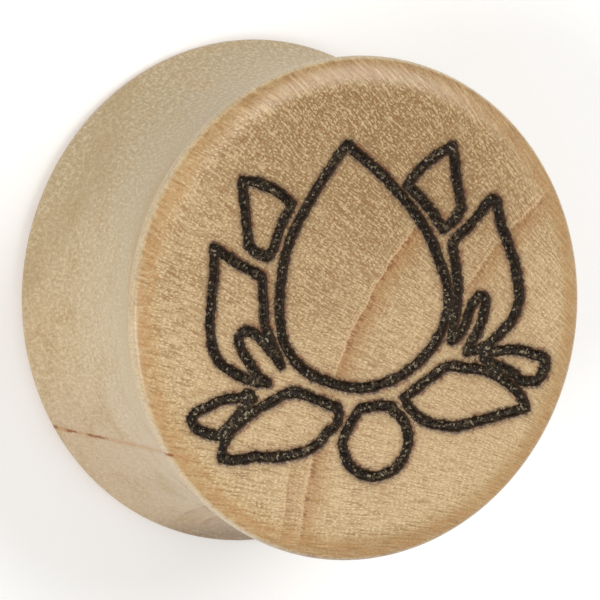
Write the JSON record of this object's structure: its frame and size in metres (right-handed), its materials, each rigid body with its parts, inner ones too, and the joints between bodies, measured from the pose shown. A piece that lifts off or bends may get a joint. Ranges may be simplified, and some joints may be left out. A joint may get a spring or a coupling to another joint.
{
  "type": "ear plug gauge",
  "caption": "Double flared saddle ear plug turned from pale wood, with rounded rims, a shallow dished front face and a lotus outline burnt in as grooves.",
  "frame": {"origin": "centre of the plain back face, on which the plug lies", "axes": "+Z along the plug's axis from the back face to the engraved front face, +Y towards the tip of the lotus, +X to the right as seen from the front"},
  "size_m": [0.025, 0.025, 0.0129],
  "materials": {
    "wood": "oiled and lightly polished pale hardwood with fine light pores",
    "burnt_line": "charred, rough, with small shiny flecks"
  },
  "bodies": {
    "root": {"plug_body": "wood"}
  },
  "joints": []
}
